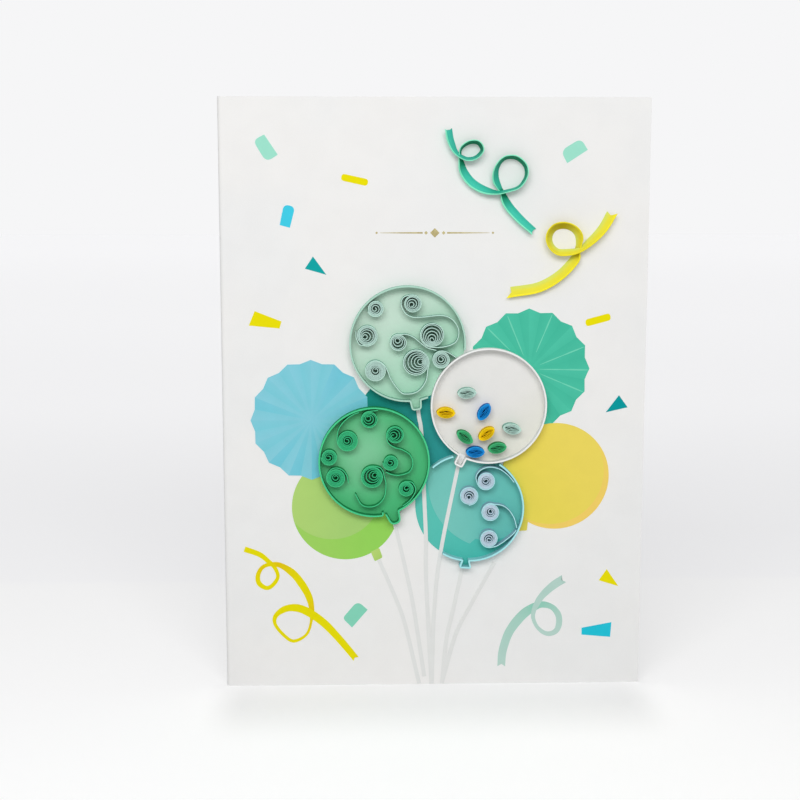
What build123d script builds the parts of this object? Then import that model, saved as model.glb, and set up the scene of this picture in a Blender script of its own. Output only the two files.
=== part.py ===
from build123d import *
import math
import os

# Card, one sheet folded down its left edge and standing on its lower edges, in millimetres
card_width = 127.0
card_height = 177.8
card_thickness = 0.45
fold_radius = 0.8
opening_angle = 45.0

# Paper strips, glued on edge to the card's face
strip_height = 3.0
strip_thickness = 0.28
rim_thickness = 0.5
strip_gap = 0.2

# Coils, wound from a strip round an open eye
coil_pitch = 0.7
coil_eye = 0.5
turn_gap = 0.1
tuck_turn = 0.3
chord_rise = 0.08
tail_steps = 3

# Marquise coils, pinched at both ends
marquise_length = 5.7
marquise_width = 3.7
marquise_pitch = 0.58
marquise_eye = 0.45
marquise_end = 0.0
marquise_steps = 12
pinch = 1.25

# Streamers, ribbons that lean over from the card
teal_width = 3.0
yellow_width = 3.3
ribbon_thickness = 0.35
ribbon_steps = 2
notch_depth = 0.9

# Bunch of balloons: the mint one from the middle of the card's face, and each other
# one by its direction from a neighbour and how far it laps over it or stands off
mint_place = (-8.1, 16.8)
mint_radius = 17.3
white_radius = 17.4
white_from_mint = 322.4
white_lap = 4.0
green_radius = 16.7
green_from_mint = 254.3
green_stand_off = 3.0
teal_radius = 16.3
teal_from_white = 260.2
teal_lap = 2.0
bare_arc = (137.0, 238.0)
seam_gap = 0.35

# Their knots: width at the balloon, width at the foot, length and rounding
mint_knot = (3.6, 3.0, 2.7, 0.8)
white_knot = (3.2, 3.1, 2.9, 0.5)
green_knot = (4.4, 3.2, 3.3, 1.3)
teal_knot = (2.4, 3.7, 2.2, 0.0)

fold_outside = fold_radius + card_thickness
fold_turn = 180.0 - opening_angle
panel_length = card_width - fold_outside
opening_rad = math.radians(opening_angle)
card_depth = fold_outside * (1 + math.cos(opening_rad)) + panel_length * math.sin(opening_rad)
face_y = strip_height - (strip_height + card_depth) / 2
face = Plane(origin=(0, face_y, 0), x_dir=(1, 0, 0), z_dir=(0, -1, 0))


def polar(angle, distance):
    """Vector of a length at an angle in degrees, in the plane of the card's face."""
    turned = math.radians(angle)
    return Vector(distance * math.cos(turned), distance * math.sin(turned))


class Balloon:
    """A round balloon with its knot, in the plane of the card's face."""

    def __init__(self, centre, radius, knot_angle, knot):
        self.centre = centre
        self.radius = radius
        self.knot_angle = knot_angle
        self.knot_top, self.knot_foot, self.knot_length, self.knot_round = knot

    def outline(self, grow=0.0):
        """Filled outline, grown by a margin, or shrunk by a negative one."""
        near = self.radius + grow - 2 * rim_thickness
        far = self.radius + self.knot_length + grow
        top = self.knot_top / 2 + grow
        foot = self.knot_foot / 2 + grow
        knot = make_face(Polyline((near, -top), (far, -foot), (far, foot), (near, top), close=True))
        rounding = min(self.knot_round + grow, 0.9 * foot)
        if rounding > 0:
            knot = fillet(knot.vertices().sort_by(Axis.X)[-2:], rounding)
        place = Pos(self.centre.X, self.centre.Y)
        return place * Circle(self.radius + grow) + place * Rot(0, 0, self.knot_angle) * knot

    def beside(self, angle, gap, radius):
        """Centre of another balloon, in a direction from this one, with a gap between them."""
        return self.centre + polar(angle, self.radius + gap + radius)

    def seam(self):
        """Gap in the rim between its two ends, just before the knot."""
        turn = math.degrees(math.asin((self.knot_top + seam_gap) / 2 / self.radius))
        place = Pos(self.centre.X, self.centre.Y) * Rot(0, 0, self.knot_angle - turn)
        return place * Pos(self.radius, 0) * Rectangle(4 * rim_thickness, seam_gap)

    def room(self, half_size):
        """How far from the middle the centre of a thing can lie inside the rim."""
        return self.radius - rim_thickness - strip_gap - half_size

    def spot(self, angle, reach, half_size=strip_thickness / 2):
        """Point at an angle; a reach of 0 is the middle and 1 is against the rim."""
        return self.centre + polar(angle, reach * self.room(half_size))


def winding_marks(outer, turns):
    """How many turns in each point of a coil lies, with chords that all cut in alike."""
    marks = []
    turned = 0.0
    while turned < turns:
        marks.append(turned)
        turned += math.acos(1 - chord_rise / (outer - coil_pitch * turned)) / math.pi
    return marks


def tuck(turned, room):
    """How far a glued outer end is drawn in to the turn below it, where there is room."""
    return room * max(0, 1 - turned / tuck_turn) ** 2


class Coil:
    """A round coil. Its outer end lies at an angle, and it winds inwards from there.

    Its size is a share of its balloon's. A winding of 1 is counter-clockwise. The turns bunch
    on the side of the hub's angle, by a lean from 0 (centred) to 1 (all but touching there).
    """

    def __init__(self, balloon, angle, reach, size, end, winding, hub, lean):
        self.radius = size * balloon.radius
        self.centre = balloon.spot(angle, reach, self.radius)
        self.end = end
        self.winding = winding
        self.hub = hub
        self.lean = lean

    def inwards(self, glued=False):
        """Centreline from the outer end, loose or glued down, to the eye."""
        outer = self.radius - strip_thickness / 2
        turns = (outer - coil_eye) / coil_pitch
        slack = coil_pitch - strip_thickness - turn_gap
        drift = self.lean * slack
        room = slack - drift * math.cos(math.radians(self.end - self.hub)) if glued else 0
        path = []
        for turned in winding_marks(outer, turns):
            middle = self.centre + polar(self.hub, drift * turned)
            angle = self.end + self.winding * 360 * turned
            path.append(middle + polar(angle, outer - coil_pitch * turned - tuck(turned, room)))
        return path

    def outline(self):
        """Face of the coil by itself, with its outer end glued down."""
        return strip_outline(self.inwards(glued=True), strip_thickness)


def strip_outline(path, thickness):
    """Face of a strip of even thickness along a centreline."""
    left = []
    right = []
    for i, point in enumerate(path):
        along = path[min(i + 1, len(path) - 1)] - path[max(i - 1, 0)]
        side = along.normalized().rotate(Axis.Z, 90) * (thickness / 2)
        left.append(point + side)
        right.append(point - side)
    return make_face(Polyline(*left, *reversed(right), close=True))


def free_curve(points, start, finish, steps):
    """Smooth curve through points, in a few steps between each two, with given end directions."""
    tangents = [start.normalized() * (points[1] - points[0]).length]
    for before, after in zip(points, points[2:]):
        tangents.append((after - before) / 2)
    tangents.append(finish.normalized() * (points[-1] - points[-2]).length)
    path = [points[0]]
    for i in range(len(points) - 1):
        for step in range(1, steps + 1):
            t = step / steps
            place = points[i] * (2 * t**3 - 3 * t**2 + 1) + points[i + 1] * (3 * t**2 - 2 * t**3)
            pull = tangents[i] * (t**3 - 2 * t**2 + t) + tangents[i + 1] * (t**3 - t**2)
            path.append(place + pull)
    return path


def curl(coil, tail):
    """A coil whose outer end runs on along a tail to a free end."""
    wound = coil.inwards()
    points = [wound[0]] + tail
    free = free_curve(points, wound[0] - wound[1], points[-1] - points[-2], tail_steps)
    return strip_outline(wound[:0:-1] + free, strip_thickness)


def scroll(first, between, second):
    """Two coils at the ends of one strip."""
    wound = first.inwards()
    other = second.inwards()
    points = [wound[0]] + between + [other[0]]
    free = free_curve(points, wound[0] - wound[1], other[1] - other[0], tail_steps)
    return strip_outline(wound[:0:-1] + free + other[1:], strip_thickness)


def marquise(balloon, angle, reach, tilt):
    """A coil pinched to a point at both ends."""
    turns = (marquise_width / 2 - marquise_eye) / marquise_pitch
    slack = marquise_pitch - strip_thickness - turn_gap
    steps = round(turns * marquise_steps)
    place = balloon.spot(angle, reach, marquise_width / 2)
    path = []
    for i in range(steps + 1):
        turned = turns * i / steps
        around = math.radians(marquise_end) + 2 * math.pi * turned
        inset = strip_thickness / 2 + marquise_pitch * turned + tuck(turned, slack)
        half_length = marquise_length / 2 - inset
        half_width = marquise_width / 2 - inset
        height = half_width * abs(math.sin(around)) ** pinch * math.copysign(1, math.sin(around))
        point = Vector(half_length * math.cos(around), height)
        path.append(place + point.rotate(Axis.Z, tilt))
    return strip_outline(path, strip_thickness)


def stand(outline):
    """Stand a flat outline up from the card's face as paper strips on edge."""
    return extrude(face * outline, strip_height)


def card():
    """Two panels joined by a rounded fold, as one sheet."""
    fold = Pos(-card_width / 2 + fold_outside, face_y + fold_outside)
    back = polar(opening_angle, panel_length)
    edges = []
    for radius in (fold_outside, fold_radius):
        bend = fold * CenterArc((0, 0), radius, 270, -fold_turn)
        front_end = Vector(card_width / 2, (bend @ 0).Y)
        edges.append(Line(front_end, bend @ 0))
        edges.append(bend)
        edges.append(Line(bend @ 1, (bend @ 1) + back))
    edges.append(Line(edges[0] @ 0, edges[3] @ 0))
    edges.append(Line(edges[2] @ 1, edges[5] @ 1))
    return extrude(make_face(edges), card_height)


def from_card(point, height):
    """Point at a height in front of the card's face."""
    return face.from_local_coords(Vector(point.X, point.Y, height))


def ribbon_section(low, high, height):
    """Slanted cross-section of a ribbon, from its edge on the card to its raised edge."""
    half = (high - low).normalized() * (ribbon_thickness / 2)
    foot = [from_card(low - half, 0), from_card(low + half, 0)]
    head = [from_card(high + half, height), from_card(high - half, height)]
    return make_face(Polyline(*foot, *head, close=True))


def notch(low, inner, high, height):
    """Wedge that cuts a swallowtail into the end of a ribbon."""
    into = (inner - low).normalized() * notch_depth
    point = from_card((low + high) / 2 + into, height / 2)
    wedge = make_face(Polyline(from_card(low - into, 0), point, from_card(high - into, height), close=True))
    return extrude(wedge, notch_depth, both=True)


def streamer(strands, width, outward):
    """A curled ribbon that leans outwards, from the strands of its middle line.

    Each strand starts where the one before it ends, and crosses others but not itself. Its rows are
    points in from the card's free edge and down from its top edge, and the ribbon's lean in degrees.
    Outward is 1 where the ribbon leans to the left of its run, and -1 to the right.
    """
    rows = strands[0] + [row for strand in strands[1:] for row in strand[1:]]
    points = [Vector(card_width / 2 - inset, card_height - drop, lean) for inset, drop, lean in rows]
    middle = free_curve(points, points[1] - points[0], points[-1] - points[-2], ribbon_steps)
    low = []
    high = []
    heights = []
    for i, point in enumerate(middle):
        place = Vector(point.X, point.Y)
        along = middle[min(i + 1, len(middle) - 1)] - middle[max(i - 1, 0)]
        side = Vector(-along.Y, along.X).normalized() * (outward * width / 2)
        lean = math.radians(point.Z)
        low.append(place - side * math.sin(lean))
        high.append(place + side * math.sin(lean))
        heights.append(width * math.cos(lean))
    sections = [ribbon_section(low[i], high[i], heights[i]) for i in range(len(middle))]
    pieces = []
    first = 0
    for strand in strands:
        last = first + ribbon_steps * (len(strand) - 1)
        pieces.append(loft(sections[first:last + 1], ruled=True))
        first = last
    ribbon = pieces[0].fuse(*pieces[1:])
    ribbon -= notch(low[0], low[1], high[0], heights[0])
    ribbon -= notch(low[-1], low[-2], high[-1], heights[-1])
    return ribbon


def mint_pieces(mint, white):
    """Rim, coils and scrolls of the mint balloon, which the white one overlaps."""
    kept = white.outline(strip_gap)
    upper_left = Coil(mint, 132, 1.0, 0.139, 200, 1, 200, 0.5)
    left = Coil(mint, 168, 0.91, 0.179, 250, 1, 200, 0.9)
    left_tail = [mint.spot(180, 0.87), mint.spot(173, 0.93), mint.spot(166, 0.96)]
    top = Coil(mint, 83, 0.89, 0.173, 85, -1, 240, 0.9)
    middle_right = Coil(mint, 20, 0.6, 0.208, 285, -1, 270, 1.0)
    upper_run = [(97, 0.84), (100, 0.73), (97, 0.59), (85, 0.5), (58, 0.57), (34, 0.84), (13, 0.93), (356, 0.76)]
    middle = Coil(mint, 178, 0.21, 0.145, 95, 1, 90, 0.9)
    middle_tail = [mint.spot(103, 0.17), mint.spot(30, 0.15), mint.spot(347, 0.43), mint.spot(348, 0.57)]
    lower_left = Coil(mint, 220, 0.92, 0.179, 95, 1, 250, 0.5)
    lower = Coil(mint, 294, 0.48, 0.220, 350, 1, 5, 1.0)
    lower_run = [(222, 0.56), (236, 0.6), (250, 0.76), (264, 0.9), (281, 0.89), (298, 0.74)]
    right = Coil(mint, 335, 0.79, 0.145, 80, 1, 50, 0.9)
    right_tail = [mint.spot(348, 0.8), mint.spot(343, 1.0)]
    return {
        "mint_balloon_rim": mint.outline() - mint.outline(-rim_thickness) - kept,
        "mint_coil_upper_left": upper_left.outline(),
        "mint_curl_left": curl(left, left_tail),
        "mint_scroll_upper": scroll(top, [mint.spot(*at) for at in upper_run], middle_right),
        "mint_curl_middle": curl(middle, middle_tail),
        "mint_scroll_lower": scroll(lower_left, [mint.spot(*at) for at in lower_run], lower),
        "mint_curl_right": curl(right, right_tail) - kept,
    }


def green_pieces(green):
    """Rim and curls of the green balloon."""
    top = Coil(green, 96, 0.97, 0.150, 95, 1, 120, 0.8)
    upper_left = Coil(green, 140, 0.8, 0.180, 200, 1, 180, 0.6)
    upper_left_tail = [green.spot(141, 0.88), green.spot(128, 0.96), green.spot(112, 1.0), green.spot(106, 1.0)]
    left = Coil(green, 173, 1.0, 0.144, 180, 1, 180, 0.5)
    lower_left = Coil(green, 202, 0.94, 0.168, 80, 1, 90, 0.4)
    lower_left_tail = [green.spot(195, 0.58), green.spot(217, 0.62)]
    upper_right = Coil(green, 53, 0.79, 0.156, 190, -1, 200, 0.8)
    upper_right_run = [(54, 0.46), (37, 0.48), (24, 0.59), (11, 0.7), (358, 0.73), (345, 0.69), (333, 0.54),
                       (325, 0.4), (321, 0.29)]
    middle = Coil(green, 359, 0.36, 0.138, 180, 1, 180, 0.3)
    lower = Coil(green, 262, 0.35, 0.198, 100, 1, 45, 1.0)
    lower_run = [(316, 0.13), (315, 0.23), (306, 0.32), (298, 0.47), (286, 0.69), (275, 0.81), (264, 0.86),
                 (253, 0.84), (239, 0.7)]
    right = Coil(green, 320, 0.91, 0.135, 75, 1, 60, 0.7)
    right_run = [(331.6, 0.82), (327.5, 0.93), (321, 0.975), (312, 1.0), (303, 1.0)]
    return {
        "green_balloon_rim": green.outline() - green.outline(-rim_thickness) - green.seam(),
        "green_coil_top": curl(top, [green.spot(86, 1.0)]),
        "green_curl_upper_left": curl(upper_left, upper_left_tail),
        "green_coil_left": left.outline(),
        "green_curl_lower_left": curl(lower_left, lower_left_tail),
        "green_curl_upper_right": curl(upper_right, [green.spot(*at) for at in upper_right_run]),
        "green_coil_middle": middle.outline(),
        "green_curl_lower": curl(lower, [green.spot(*at) for at in lower_run]),
        "green_curl_right": curl(right, [green.spot(*at) for at in right_run]),
    }


def teal_pieces(teal, white, green):
    """Rim and curls of the teal balloon, which the white and green ones overlap."""
    reach = 2 * teal.radius
    arc = [teal.centre, teal.centre + polar(bare_arc[0], reach), teal.centre + polar(bare_arc[1], reach)]
    bare = make_face(Polyline(*arc, close=True))
    rim = teal.outline() - teal.outline(-rim_thickness) - white.outline(strip_gap)
    rim = rim - green.outline(strip_gap) - bare
    arcs = rim.faces().sort_by(SortBy.AREA)
    upper = Coil(teal, 61, 0.76, 0.160, 190, 1, 100, 0.3)
    upper_tail = [teal.spot(76, 0.78), teal.spot(63, 0.91), teal.spot(48, 0.98), teal.spot(34, 1.0), teal.spot(27, 1.0)]
    middle = Coil(teal, 96, 0.31, 0.166, 270, 1, 270, 0.9)
    right = Coil(teal, 350, 0.49, 0.160, 85, 1, 45, 0.6)
    right_tail = [teal.spot(359, 0.67), teal.spot(348, 0.83), teal.spot(338, 1.0)]
    lower = Coil(teal, 302, 0.86, 0.160, 300, -1, 270, 0.8)
    lower_tail = [teal.spot(321, 0.95), teal.spot(334.5, 1.0)]
    return {
        "teal_balloon_rim": arcs[-1],
        "teal_balloon_rim_short": arcs[0],
        "teal_curl_upper": curl(upper, upper_tail),
        "teal_coil_middle": middle.outline(),
        "teal_curl_right": curl(right, right_tail),
        "teal_curl_lower": curl(lower, lower_tail),
    }


def white_pieces(white):
    """Rim and marquise coils of the white balloon."""
    return {
        "white_balloon_rim": white.outline() - white.outline(-rim_thickness),
        "marquise_mint_upper": marquise(white, 148, 0.52, 2),
        "marquise_yellow_left": marquise(white, 188, 0.87, -4),
        "marquise_blue_middle": marquise(white, 230, 0.14, 55),
        "marquise_mint_right": marquise(white, 316, 0.65, -12),
        "marquise_green_left": marquise(white, 232, 0.78, -38),
        "marquise_yellow_lower": marquise(white, 266, 0.55, 35),
        "marquise_green_lower": marquise(white, 282, 0.86, 8),
        "marquise_blue_lower": marquise(white, 254, 0.96, 0),
    }


mint_centre = Vector(mint_place[0], card_height / 2 + mint_place[1])
mint_balloon = Balloon(mint_centre, mint_radius, 278, mint_knot)
white_centre = mint_balloon.beside(white_from_mint, -white_lap, white_radius)
white_balloon = Balloon(white_centre, white_radius, 243, white_knot)
green_centre = mint_balloon.beside(green_from_mint, green_stand_off, green_radius)
green_balloon = Balloon(green_centre, green_radius, 289.5, green_knot)
teal_centre = white_balloon.beside(teal_from_white, -teal_lap, teal_radius)
teal_balloon = Balloon(teal_centre, teal_radius, 265.5, teal_knot)
outlines = {}
outlines.update(mint_pieces(mint_balloon, white_balloon))
outlines.update(green_pieces(green_balloon))
outlines.update(teal_pieces(teal_balloon, white_balloon, green_balloon))
outlines.update(white_pieces(white_balloon))

# Middle lines of the ribbons: in from the card's free edge, down from its top edge, and the lean
teal_strands = [
    [(59.7, 9.2, 45), (59.0, 12.7, 43), (57.4, 15.7, 38), (54.5, 17.8, 23), (51.7, 17.5, 18), (50.3, 15.6, 15)],
    [(50.3, 15.6, 15), (51.2, 13.8, 17), (53.5, 13.6, 15), (55.5, 15.0, 17), (56.1, 17.1, 24), (55.9, 19.3, 41),
     (55.0, 21.9, 55), (52.7, 24.8, 58), (49.2, 26.8, 47), (45.7, 27.4, 31), (42.2, 27.1, 15), (38.9, 25.8, 11),
     (37.0, 22.9, 11)],
    [(37.0, 22.9, 11), (37.5, 20.0, 14), (40.0, 18.1, 15), (43.1, 18.2, 17), (44.9, 20.3, 26), (45.3, 23.2, 43),
     (44.7, 26.2, 52), (43.4, 29.2, 57), (41.3, 32.3, 60), (37.9, 35.9, 55), (34.2, 39.1, 45)],
]
yellow_strands = [
    [(11.3, 33.8, 51), (13.9, 38.2, 45), (17.7, 42.1, 36), (21.8, 44.6, 33), (26.0, 45.2, 33), (28.1, 44.4, 34),
     (29.4, 42.8, 37)],
    [(29.4, 42.8, 37), (29.8, 40.9, 41), (29.3, 39.1, 41), (27.9, 37.7, 40), (25.8, 37.2, 37), (23.6, 37.6, 34),
     (21.8, 38.8, 33), (20.8, 40.6, 35), (20.5, 43.2, 42), (22.3, 47.7, 53), (26.6, 52.1, 54), (32.7, 55.5, 60),
     (40.8, 56.9, 66)],
]

parts = {"card": card()}
for name, outline in outlines.items():
    parts[name] = stand(outline)
parts["teal_streamer"] = streamer(teal_strands, teal_width, -1)
parts["yellow_streamer"] = streamer(yellow_strands, yellow_width, 1)

os.makedirs("parts", exist_ok=True)
for name, part in parts.items():
    export_step(part, f"parts/{name}.step")
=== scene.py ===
import bmesh
import bpy
import math
from mathutils import Euler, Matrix, Vector, geometry, noise

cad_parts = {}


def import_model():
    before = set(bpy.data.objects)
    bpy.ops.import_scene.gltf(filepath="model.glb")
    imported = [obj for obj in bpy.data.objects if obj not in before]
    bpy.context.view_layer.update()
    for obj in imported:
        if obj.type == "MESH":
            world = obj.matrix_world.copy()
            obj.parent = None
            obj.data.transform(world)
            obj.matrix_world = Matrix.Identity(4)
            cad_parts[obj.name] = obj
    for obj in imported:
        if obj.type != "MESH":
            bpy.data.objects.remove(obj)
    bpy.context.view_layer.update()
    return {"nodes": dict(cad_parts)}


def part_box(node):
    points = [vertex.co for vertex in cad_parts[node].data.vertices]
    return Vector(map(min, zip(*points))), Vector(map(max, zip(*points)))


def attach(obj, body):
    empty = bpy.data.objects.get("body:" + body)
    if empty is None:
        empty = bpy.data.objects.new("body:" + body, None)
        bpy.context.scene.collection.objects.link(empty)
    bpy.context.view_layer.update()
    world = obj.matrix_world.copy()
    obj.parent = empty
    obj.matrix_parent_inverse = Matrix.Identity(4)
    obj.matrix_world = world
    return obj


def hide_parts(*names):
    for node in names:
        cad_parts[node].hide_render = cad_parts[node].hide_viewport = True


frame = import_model()
scene = bpy.context.scene

# Places on the card are in millimetres: across from its middle, up from its foot, out from its face
MM = 0.001
rim_low, rim_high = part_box("white_balloon_rim")
face_y = rim_high.y / MM
strip_height = (rim_high.y - rim_low.y) / MM
card_low, card_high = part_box("card")
card_width = (card_high.x - card_low.x) / MM
card_height = card_high.z / MM

# Paper strips on edge
rim_thickness = 0.5
strip_thickness = 0.26
strip_gap = 0.2
strip_bevel = 0.05
strip_unevenness = 0.07
unevenness_scale = 0.6
snug_pitch = 0.31
loose_pitch = 0.64
teal_loose_pitch = 0.56
coil_spread = 0.12
coil_eye = 0.36
coil_wobble = 0.035
sink = 0.16
turn_steps = 64
tail_steps = 14
cad_strip_thickness = 0.28

# Marquise coils
marquise_length = 5.7
marquise_width = 3.55
marquise_thickness = 0.22
marquise_pitch = 0.33
marquise_eye = 0.44
marquise_drop = 0.25
marquise_end_share = 0.5
marquise_tightening = 0.2
slit_waves = 3
slit_wave_height = 0.12
slit_rise = 0.16
slit_run = 3.5
slit_depth = 0.55
pinch = 1.15

# Streamers
teal_width = 3.0
yellow_width = 3.3
ribbon_thickness = 0.22
ribbon_steps = 10
ribbon_parts = 8
ribbon_bow = 0.12
ribbon_taper = 4
notch_depth = 0.95
crossing_reach = 2.2
crossing_lift = 1.0
crossing_cut = 1.35

# Balloons, the teal one slightly out of round
swell_angle = 130.0
arc_step = 3.0
corner_steps = 6
knot_bend = 0.25
knot_fill = 0.95
rim_hook = ((0.3, 0.2), (0.45, 1.0))

# Ink, in thin layers, and what it prints
layer = 0.02
sunk = 0.01
blue_fan = (-36.9, 82.6)
green_fan = (28.4, 97.8)
fan_peak = 18.2
fan_pleats = 16
facet_edge = 0.001
facet_shade = 0.3
slope_shade = 0.4
deep_share = 0.5
crease_reach = 18.1
tail_notch = 0.32
line_steps = 6
string_widths = (1.15, 1.2, 1.25)
disc_inset = 0.15
rule_start = 3.6
rule_length = 12.6

# Paper's tone and grain
mottle_band = (0.3, 0.7)
fibre_band = (0.25, 0.75)
streak_band = (0.3, 0.75)
ink_mottle = 0.012
ink_fibre = 0.008
face_share = 0.94


def polar(angle, distance):
    """Vector of a length at an angle in degrees, across and up the card."""
    turned = math.radians(angle)
    return Vector((distance * math.cos(turned), distance * math.sin(turned)))


def srgb(red, green, blue):
    """Linear colour of a colour given as it shows on a screen, from 0 to 255."""
    shares = [level / 255 for level in (red, green, blue)]
    linear = [((s + 0.055) / 1.055) ** 2.4 if s > 0.04045 else s / 12.92 for s in shares]
    return (*linear, 1.0)


def add_node(tree, kind, inputs=(), **settings):
    """A new shader node, with values or links for its inputs."""
    made = tree.nodes.new("ShaderNode" + kind)
    for key, value in settings.items():
        setattr(made, key, value)
    for key, value in dict(inputs).items():
        if isinstance(value, bpy.types.NodeSocket):
            tree.links.new(value, made.inputs[key])
        else:
            made.inputs[key].default_value = value
    return made


def add_object(name, data):
    """A new object in the scene."""
    made = bpy.data.objects.new(name, data)
    scene.collection.objects.link(made)
    return made


class Look:
    """A procedural paper or ink material, built node by node."""

    def __init__(self, name, roughness=0.75, specular=0.1):
        self.material = bpy.data.materials.new(name)
        self.material.use_nodes = True
        self.tree = self.material.node_tree
        self.shader = self.tree.nodes["Principled BSDF"]
        self.shader.inputs["Roughness"].default_value = roughness
        self.shader.inputs["Specular IOR Level"].default_value = specular
        self.place = self.node("TexCoord").outputs["Object"]

    def node(self, kind, inputs=(), **settings):
        return add_node(self.tree, kind, inputs, **settings)

    def feed(self, name, value):
        self.tree.links.new(value, self.shader.inputs[name])

    def mix(self, share, first, second):
        """One colour turning into another as a share goes from 0 to 1."""
        low, high = [srgb(*tone) if isinstance(tone, tuple) else tone for tone in (first, second)]
        return self.node("Mix", {0: share, 6: low, 7: high}, data_type="RGBA").outputs[2]

    def math(self, operation, first, second=0.0):
        return self.node("Math", {0: first, 1: second}, operation=operation).outputs[0]

    def times(self, first, second):
        return self.math("MULTIPLY", first, second)

    def ramp(self, value, low, high, start=0.0, end=1.0):
        """A value's way from low to high, eased, as a number from start to end."""
        inputs = {"Value": value, "From Min": low, "From Max": high, "To Min": start, "To Max": end}
        return self.node("MapRange", inputs, interpolation_type="SMOOTHSTEP").outputs["Result"]

    def clouds(self, scale, detail=3.0, where=None):
        inputs = {"Vector": where or self.place, "Scale": scale, "Detail": detail}
        return self.node("TexNoise", inputs).outputs["Fac"]

    def marks(self):
        """The piece's own marks, along and across it."""
        chart = self.node("UVMap", uv_map="marks").outputs["UV"]
        return self.node("SeparateXYZ", {0: chart}).outputs[:2]

    def streaks(self, along, across, stretch, scale, most=1.0):
        """Streaks along the piece, as a share up to the most."""
        sides = {0: self.times(along, stretch[0]), 1: self.times(across, stretch[1])}
        streak = self.clouds(scale, 4.0, self.node("CombineXYZ", sides).outputs[0])
        return self.ramp(streak, *streak_band, 0.0, most)

    def wash(self, first, second, start, finish):
        """One colour turning into another between two places on the card."""
        near, far = [Vector((across, 0, up)) * MM for across, up in (start, finish)]
        way = (far - near).normalized()
        run = self.node("VectorMath", {0: self.place, 1: way}, operation="DOT_PRODUCT").outputs["Value"]
        return self.mix(self.ramp(run, way.dot(near), way.dot(far)), first, second)

    def halo(self, first, second, centre, radius):
        """One colour at a place on the card turning into another at a distance."""
        flat = self.node("VectorMath", {0: self.place, 1: (1, 0, 1)}, operation="MULTIPLY").outputs[0]
        middle = Vector((centre[0], 0, centre[1])) * MM
        far = self.node("VectorMath", {0: flat, 1: middle}, operation="DISTANCE").outputs["Value"]
        return self.mix(self.ramp(far, 0.0, radius * MM), first, second)

    def finish(self, colour, mottle=0.03, mottle_scale=260.0, fibre=0.02, fibre_scale=4200.0):
        """Mottle a colour faintly, and raise the paper's fibres by a height in millimetres."""
        limits = (1 - mottle, 1 + mottle / 2)
        tone = self.ramp(self.clouds(mottle_scale), *mottle_band, *limits)
        spread = self.ramp(self.clouds(fibre_scale, 2.0), *fibre_band, *limits)
        value = self.times(tone, spread)
        self.feed("Base Color", self.node("HueSaturation", {"Color": colour, "Value": value}).outputs[0])
        inputs = {"Height": self.clouds(fibre_scale, 5.0), "Strength": 0.5, "Distance": fibre * MM}
        self.feed("Normal", self.node("Bump", inputs).outputs[0])
        return self.material

    def inked(self, colour, mottle=ink_mottle):
        """Finish a colour as print on smooth card."""
        return self.finish(colour, mottle, fibre=ink_fibre)


def ink(name, first, second=None, start=(0, 0), finish=(0, 1)):
    """Printed ink, in one colour or washed from one into another."""
    look = Look("ink_" + name)
    return look.inked(look.wash(first, second or first, start, finish))


def round_ink(name, first, second, centre, radius):
    """Printed ink, washed from one colour at a centre into another round it."""
    look = Look("ink_" + name)
    return look.inked(look.halo(first, second, centre, radius))


def strip_paper(name, face, edge, deep):
    """Coloured strip paper: sides darker than the cut edge as painted shade, and the edge duller where sunk
    as painted shade in the coils' inner turns.
    """
    look = Look(name)
    along, across = look.marks()
    streak = look.streaks(along, across, (0.35, 9.0), 2.2)
    # Sides darker than the cut edge: painted shade on the strips' walls and between turns
    sides = look.mix(streak, tuple(face_share * level for level in face), face)
    front = (face_y - strip_height + strip_unevenness) * MM
    # Edge duller where the strip is sunk: painted shade in the coils' inner turns
    back = look.ramp(look.node("SeparateXYZ", {0: look.place}).outputs["Y"], front, front + sink * MM)
    rim = look.mix(back, edge, deep)
    return look.finish(look.mix(look.ramp(across, 0.975, 0.99), sides, rim), mottle=0.025, fibre=0.012)


def ribbon_paper(name, foot, middle, edge, dark):
    """Streamer paper with painted light: painted shade and reflected light at its foot, a painted highlight
    along its raised edge, and painted shade where its shade attribute is high.
    """
    look = Look(name, roughness=0.6, specular=0.15)
    along, across = look.marks()
    # Foot to middle: painted shade and reflected light from the card at the ribbon's foot
    body = look.mix(look.ramp(across, 0.0, 0.6), foot, middle)
    lined = look.mix(look.streaks(along, across, (0.3, 12.0), 2.0, 0.12), body, edge)
    # Shade attribute: painted shade at the loops' tops and just past crossings
    shade = look.node("Attribute", attribute_name="shade").outputs["Fac"]
    shaded = look.mix(shade, lined, dark)
    # Painted highlight along the raised edge
    return look.finish(look.mix(look.ramp(across, 0.8, 0.88), shaded, edge), mottle=0.02, fibre=0.01)


def fan_ink(name, light, dark, deep):
    """Ink of a printed fan: facets light and dark in turn, shaded along their folds."""
    look = Look("ink_" + name)
    along, across = look.marks()
    facet = look.math("FLOOR", along)
    odd = look.math("MODULO", facet, 2.0)
    slope = look.math("ABSOLUTE", look.math("SUBTRACT", look.math("FRACT", along), odd))
    slope = look.times(slope, slope_shade)
    shade = look.math("ADD", look.times(odd, facet_shade), slope)
    outer = look.times(shade, look.ramp(across, 0.0, 0.35))
    pleats = look.mix(outer, light, dark)
    chance = look.node("TexWhiteNoise", {"W": facet}, noise_dimensions="1D").outputs["Value"]
    depth = look.times(look.ramp(chance, 0.55, 1.0), look.ramp(across, 0.1, 1.0, 0.2, 1.0))
    return look.inked(look.mix(look.times(depth, deep_share), pleats, deep), 0.015)


def shaded_ink(name, plain, shaded):
    """Ink whose shade is the mark across the piece."""
    look = Look("ink_" + name)
    return look.inked(look.mix(look.marks()[1], plain, shaded))


def card_stock():
    """Heavy white card with a faint tooth and slow, uneven tone."""
    look = Look("card_stock", roughness=0.68, specular=0.25)
    warm = look.mix(look.ramp(look.clouds(28.0, 2.0), 0.35, 0.65), (240, 239, 237), (238, 238, 237))
    return look.finish(warm, ink_mottle, mottle_scale=120.0, fibre=0.03, fibre_scale=3000.0)


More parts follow.
